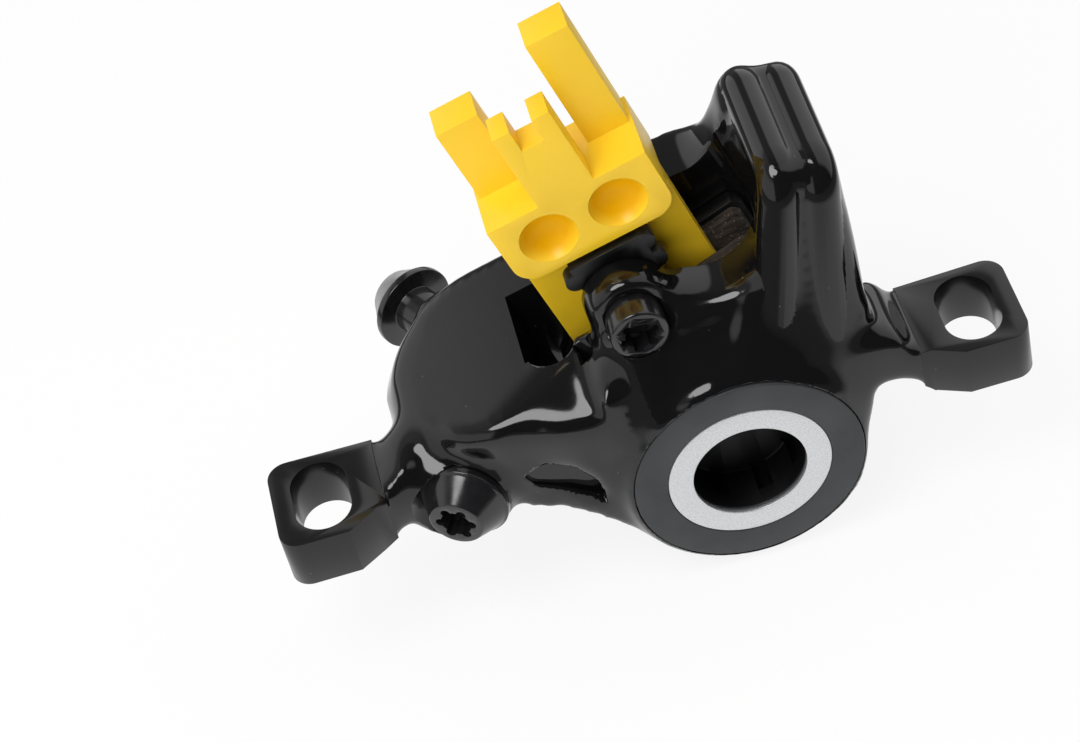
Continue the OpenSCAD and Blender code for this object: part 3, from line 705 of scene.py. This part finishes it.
def makeBody():
    b = bodyShape
    body = copyNode("caliper_body", "body")
    body = joinAll([body, *bodyFillers()])
    applyModifier(body, "REMESH", mode="VOXEL", voxel_size=b["voxel"], adaptivity=0)
    carve(body, makeShelf(), "UNION")
    scoop = addRod("cutScoop", *b["scoop"], b["scoopRadius"], 96)  # channel beside the screw's boss
    carve(body, move(scoop, padFrame))
    run, up = Vector(b["slopeRun"]), Vector(b["slopeUp"])  # the bridge falls off towards the cylinder
    lean = Matrix((run, up.cross(run), up)).transposed().to_4x4()
    slope = addBox("cutSlope", *b["slopeRoom"])
    carve(body, move(slope, padFrame @ Matrix.Translation(b["slope"]) @ lean))
    applyModifier(body, "REMESH", mode="VOXEL", voxel_size=b["voxel"], adaptivity=0)
    print("stage: body remeshed", len(body.data.polygons))
    smoothBody(body)
    for line in ridgeShape["lines"]:
        carve(body, makeRidge(*line), "UNION")
    for cutter in bodyCutters():
        carve(body, cutter)
    for side in (-1, 1):
        cutAway(body, (side * (b["earCut"] + b["earLap"]), 0, 0), (side, 0, 0))
        carve(body, makeEar(side), "UNION")
    shadeSmooth(body, b["shadeAngle"])
    settle(body, "caliper", "body_paint", paint, "caliper_body")


makeBody()
print("stage: body")


# cap, ring and screws, turned about their own Z

capShape = {
    "flange": 13.1, "seat": 14.87, "face": 16.65, "plug": 12.2, "plugEnd": 12.9,
    "ring": 9.34, "ringSeat": 16.05, "hole": 6.45, "holeEnd": 10.2, "hub": 7.9, "hubEnd": 8.4, "edge": 0.18,
    "notches": 8, "notch": (9.9, 13.8, 0.9),  # start, end and radius
}


def makeCap():
    c = capShape
    cap = turnPiece("cylinderCap", [
        (c["hub"], c["hubEnd"]), (c["hub"], c["plugEnd"]), (c["plug"], c["plugEnd"]), (c["plug"], c["seat"]),
        (c["flange"], c["seat"]), (c["flange"], c["face"]), (c["ring"], c["face"]), (c["ring"], c["ringSeat"]),
        (c["hole"], c["ringSeat"]), (c["hole"], c["holeEnd"]),
    ], 160)
    softenEdges(cap, c["edge"], 3)
    notch = addBore("notch", c["notch"], Matrix.Translation((c["hole"], 0, 0)), 32)
    notches = [notch]
    for turn in range(1, c["notches"]):
        copied = notch.copy()
        copied.data = notch.data.copy()
        scene.collection.objects.link(copied)
        move(copied, Matrix.Rotation(math.tau * turn / c["notches"], 4, "Z"))
        notches.append(copied)
    carve(cap, joinAll(notches))
    shadeSmooth(cap)
    move(cap, nearAxis)
    settle(cap, "caliper", "cap_finish", capFinish, "cylinder_cap")


ringShape = {"outer": 9.3, "inner": 6.45, "low": 16.07, "face": 16.64, "edge": 0.12}


def makeRing():
    r = ringShape
    ring = turnPiece("capRing", [
        (r["inner"], r["low"]), (r["outer"], r["low"]), (r["outer"], r["face"]), (r["inner"], r["face"]),
        (r["inner"], r["low"]),
    ], 160, closed=False)
    softenEdges(ring, r["edge"], 3)
    move(ring, nearAxis)
    settle(ring, "caliper", "ring_metal", ringMetal, "cap_ring")


socketShape = {"core": 0.74, "lobe": 0.24, "count": 6, "depth": 2.3, "over": 2, "edge": 0.07, "edgeAngle": 50}


def cutSocket(screw, radius, top):
    s = socketShape
    low, high = Vector((0, 0, top - s["depth"])), Vector((0, 0, top + s["over"]))
    tool = addRod("socket", low, high, radius * s["core"], 48)
    for turn in range(s["count"]):
        angle = math.tau * turn / s["count"]
        spot = Vector((math.cos(angle), math.sin(angle), 0)) * radius * (1 - s["lobe"])
        carve(tool, addRod("lobe", spot + low, spot + high, radius * s["lobe"], 24), "UNION")
    carve(screw, tool)
    softenEdges(screw, s["edge"], 2, s["edgeAngle"])


portScrewShape = {
    "flange": 5.1, "rim": 0.9, "rimStep": 0.25, "rimFall": 0.1, "tip": 3.05, "top": 4,
    "shank": 2.9, "length": 7.5, "chamfer": 0.4, "socket": 2.35, "edge": 0.22,
}


def makePortScrew(name, node, matrix, extra):
    p = portScrewShape
    end, cut = -p["length"] - extra, p["chamfer"]
    screw = turnPiece(name, [
        (p["shank"] - cut, end), (p["shank"], end + cut), (p["shank"], 0), (p["flange"], 0),
        (p["flange"], p["rim"]), (p["flange"] - p["rimStep"], p["rim"] + p["rimFall"]), (p["tip"], p["top"]),
    ])
    softenEdges(screw, p["edge"], 3)
    cutSocket(screw, p["socket"], p["top"])
    move(screw, matrix)
    settle(screw, "caliper", "screw_black", blackSteel, node)


crossScrewShape = {
    "shank": 2, "head": 3.225, "seat": 8.22, "top": 12.5, "end": -11, "chamfer": 0.4,
    "socket": 2.3, "edge": 0.35,
}


def makePadScrew():
    p = crossScrewShape
    end, cut = p["end"], p["chamfer"]
    screw = turnPiece("padScrew", [
        (p["shank"] - cut, end), (p["shank"], end + cut), (p["shank"], p["seat"]), (p["head"], p["seat"]),
        (p["head"], p["top"]),
    ])
    softenEdges(screw, p["edge"], 3)
    cutSocket(screw, p["socket"], p["top"])
    move(screw, screwAxis)
    settle(screw, "caliper", "screw_black", blackSteel, "pad_screw")


makeCap()
makeRing()
makePortScrew("bleedScrew", "bleed_screw", nearPort, 0)
makePortScrew("hosePortPlug", "hose_port_plug", farPort, portShape["farBack"])
makePadScrew()
print("stage: cap and screws")


# pads

padPieces = [
    {"node": "_pad_plate", "name": "PadPlate", "edge": 0.18, "slot": "plate_black", "finish": plateFinish},
    {
        "node": "_pad_friction", "name": "PadFriction", "edge": 0.25,
        "slot": "friction_brown", "finish": frictionCompound},
]


def makePad(side):
    for look in padPieces:
        node = side + look["node"]
        piece = copyNode(node, side + look["name"])
        flattenFaces(piece)
        softenEdges(piece, look["edge"], 2)
        settle(piece, side + "_pad_set", look["slot"], look["finish"], node)


makePad("near")
makePad("far")
print("stage: pads")


# transport spacer, drawn in the pad frame

spacerShape = {
    "middle": -1.9, "half": 9.4, "low": 29.3, "top": 38.3, "depth": 4.8, "corner": 2.6,
    "bladeHalf": 9.3, "bladeDepth": 0.9, "bladeLow": -9, "bladeRoot": 37.3, "bladeTip": 1.5,
    "slot": ((-3, -2, -10), (3, 2, 23)), "slotEnd": ((0, -2, 23), (0, 2, 23)), "slotRadius": 3,
    "tabHalf": 3.3, "tabDepth": 3.5, "tabTop": 49.2, "notch": ((-1.3, -9, 46.1), (1.3, 9, 70)), "root": 37.8,
    "prongWidth": 4.9, "prongInset": 0.45, "prongDepth": 4.1, "shortTop": 48.7, "longTop": 53.6,
    "dimple": 3.25, "dimpleDepth": 2.2, "dimpleU": 4.15, "dimpleW": 33.8, "edge": 0.4,
}


def bevelFoot(box, side, size, segments):
    # the low edge on one side of a box
    openMesh(box)
    bpy.ops.mesh.select_all(action="DESELECT")
    closeMesh()
    low = min(vertex.co.z for vertex in box.data.vertices)
    for edge in box.data.edges:
        ends = [box.data.vertices[i].co for i in edge.vertices]
        edge.select = all(end.z < low + weld["cad"] and end.x * side > 0 for end in ends)
    bpy.ops.object.mode_set(mode="EDIT")
    bpy.ops.mesh.select_mode(type="EDGE")
    bpy.ops.mesh.bevel(offset=size, segments=segments, affect="EDGES")
    bpy.ops.mesh.select_mode(type="VERT")
    closeMesh()


def makeSpacer():
    s = spacerShape
    half, depth, root = s["half"], s["depth"], s["root"]
    spacer = addBox("transportSpacer", (-half, -depth, s["low"]), (half, depth, s["top"]))
    wide, thick = s["bladeHalf"], s["bladeDepth"]
    blade = addBox("blade", (-wide, -thick, s["bladeLow"]), (wide, thick, s["bladeRoot"]))
    for side in (-1, 1):
        bevelFoot(spacer, side, s["corner"], 10)
        bevelFoot(blade, side, s["bladeTip"], 1)
    carve(blade, addBox("slot", *s["slot"]))
    carve(blade, addRod("slotEnd", *s["slotEnd"], s["slotRadius"], 64))
    carve(spacer, blade, "UNION")
    tab = addBox("tab", (-s["tabHalf"], -depth, root), (s["tabHalf"], s["tabDepth"] - depth, s["tabTop"]))
    carve(tab, addBox("notch", *s["notch"]))
    carve(spacer, tab, "UNION")
    edge, width, back = half - s["prongInset"], s["prongWidth"], depth - s["prongDepth"]
    carve(spacer, addBox("prong", (-edge, back, root), (width - edge, depth, s["shortTop"])), "UNION")
    carve(spacer, addBox("prong", (edge - width, back, root), (edge, depth, s["longTop"])), "UNION")
    ball = (s["dimple"] ** 2 + s["dimpleDepth"] ** 2) / (2 * s["dimpleDepth"])
    for side in (-1, 1):
        bpy.ops.object.select_all(action="DESELECT")
        bpy.ops.mesh.primitive_uv_sphere_add(
            segments=96, ring_count=48, radius=ball,
            location=(side * s["dimpleU"], -depth - ball + s["dimpleDepth"], s["dimpleW"]))
        carve(spacer, bpy.context.object)
    flattenFaces(spacer)
    softenEdges(spacer, s["edge"], 3)
    move(spacer, padFrame @ Matrix.Translation((s["middle"], 0, 0)))
    settle(spacer, "spacer", "spacer_yellow", spacerPlastic, "transport_spacer")


makeSpacer()
print("stage: spacer")


# what stays as CAD only gets its finish

hiddenFinishes = {
    pistonMetal: ("near_piston", "far_piston"),
    magnetMetal: ("near_piston_magnet", "far_piston_magnet"),
    sealRubber: ("cap_seal", "near_piston_seal", "far_piston_seal", "bleed_screw_seal", "hose_port_seal"),
}
for finish, names in hiddenFinishes.items():
    for name in names:
        nodes[name].data.materials.clear()
        nodes[name].data.materials.append(finish)


# floor, light and camera

studio = {
    "floorSize": 4, "floorColour": (0.9, 0.9, 0.9), "floorRough": 0.8, "floorDrop": 0.00002, "floorGlow": 0.86,
    "floorFade": (0.1, 0.15), "floorDark": 0.05,  # beyond this far out the floor goes dark in what is glossy
    "front": 0.05, "behind": 0.2, "roomTurn": (-0.2, 0.4),
    "left": 0.78, "leftLean": -0.1, "leftEdge": (-0.36, -0.44), "leftHeight": (0.57, 0.7), "leftTop": 0.3,
    "right": 0.85, "rightLean": 0.25, "rightEdge": (0.22, 0.3), "rightFront": (-0.4, -0.2),
}


def makeFloor():
    bpy.ops.object.select_all(action="DESELECT")
    height = cadLow.z - studio["floorDrop"]
    bpy.ops.mesh.primitive_plane_add(size=studio["floorSize"], location=(0, 0, height))
    floor = bpy.context.object
    floor.name = "floor"
    bpy.ops.object.transform_apply(location=True, rotation=True, scale=True)
    finish, tree, shader, place = newFinish("paleFloor")
    shader.inputs["Base Color"].default_value = (*studio["floorColour"], 1)
    shader.inputs["Roughness"].default_value = studio["floorRough"]
    glow = tree.nodes.new("ShaderNodeEmission")
    path = tree.nodes.new("ShaderNodeLightPath")
    reach = tree.nodes.new("ShaderNodeVectorMath")
    reach.operation = "LENGTH"
    tree.links.new(place, reach.inputs[0])
    fade = addRange(tree, reach.outputs["Value"], *studio["floorFade"], 1, studio["floorDark"])
    tree.links.new(addMath(tree, "MAXIMUM", fade, path.outputs["Is Camera Ray"]), glow.inputs["Strength"])
    seen = addMath(tree, "MAXIMUM", path.outputs["Is Camera Ray"], path.outputs["Is Glossy Ray"])
    mix = tree.nodes.new("ShaderNodeMixShader")
    tree.links.new(addMath(tree, "MULTIPLY", seen, studio["floorGlow"]), mix.inputs[0])
    tree.links.new(shader.outputs[0], mix.inputs[1])
    tree.links.new(glow.outputs[0], mix.inputs[2])
    tree.links.new(mix.outputs[0], tree.nodes["Material Output"].inputs["Surface"])
    floor.data.materials.append(finish)


def makeWorld():
    # pale panels on the left and on the right, a darker gap between them and a dim room in front
    s = studio
    world = bpy.data.worlds.new("studio")
    scene.world = world
    world.use_nodes = True
    tree = world.node_tree
    back = tree.nodes["Background"]
    back.inputs["Color"].default_value = (1, 1, 1, 1)
    x, y, z = splitAxes(tree, tree.nodes.new("ShaderNodeTexCoord").outputs["Generated"])
    lean = addMath(tree, "MULTIPLY", y, s["leftLean"])
    left = addRange(tree, addMath(tree, "ADD", x, lean), *s["leftEdge"], 0, s["left"])
    left = addMath(tree, "MULTIPLY", left, addRange(tree, z, *s["leftHeight"], 1, s["leftTop"]))
    lean = addMath(tree, "MULTIPLY", y, s["rightLean"])
    right = addRange(tree, addMath(tree, "ADD", x, lean), *s["rightEdge"], 0, s["right"])
    right = addMath(tree, "MULTIPLY", right, addRange(tree, y, *s["rightFront"], 0, 1))
    panels = addMath(tree, "ADD", left, right)
    room = addRange(tree, y, *s["roomTurn"], s["front"], s["behind"])
    light = addMath(tree, "ADD", panels, room)
    seen = tree.nodes.new("ShaderNodeLightPath").outputs["Is Camera Ray"]
    tree.links.new(addMath(tree, "MAXIMUM", light, seen), back.inputs["Strength"])


softboxes = [
    # place and aim in metres, size, watts, and whether it shows in what is glossy
    {
        "name": "topBox", "at": (-0.2, -0.16, 0.62), "aim": (0, 0, 0.01),
        "size": 0.36, "power": 2.3, "shows": True},
    {
        "name": "frontBox", "at": (-0.25, -0.6, 0.45), "aim": (0, 0, 0.02),
        "size": 0.5, "power": 2.2, "shows": False},
]


def makeLights():
    for box in softboxes:
        lamp = bpy.data.lights.new(box["name"], "AREA")
        lamp.shape = "DISK"
        lamp.size = box["size"]
        lamp.energy = box["power"]
        holder = bpy.data.objects.new(box["name"], lamp)
        scene.collection.objects.link(holder)
        holder.location = box["at"]
        holder.visible_glossy = box["shows"]
        aim = Vector(box["aim"]) - Vector(box["at"])
        holder.rotation_euler = aim.to_track_quat("-Z", "Y").to_euler()


cameraLook = {
    "at": (-0.01474373, -0.23568016, 0.25110564), "lens": 102.947, "sensor": 36,
    "turn": (43.96902504, 10.84871997, -12.13880027), "clip": (0.01, 20),
}


def makeCamera():
    data = bpy.data.cameras.new("camera")
    data.lens, data.sensor_width, data.sensor_fit = cameraLook["lens"], cameraLook["sensor"], "HORIZONTAL"
    data.clip_start, data.clip_end = cameraLook["clip"]
    camera = bpy.data.objects.new("camera", data)
    scene.collection.objects.link(camera)
    camera.location = cameraLook["at"]
    camera.rotation_euler = [math.radians(angle) for angle in cameraLook["turn"]]
    scene.camera = camera


makeFloor()
makeWorld()
makeLights()
makeCamera()
scene.view_settings.view_transform = "Standard"
print("stage: studio")

bpy.context.view_layer.update()
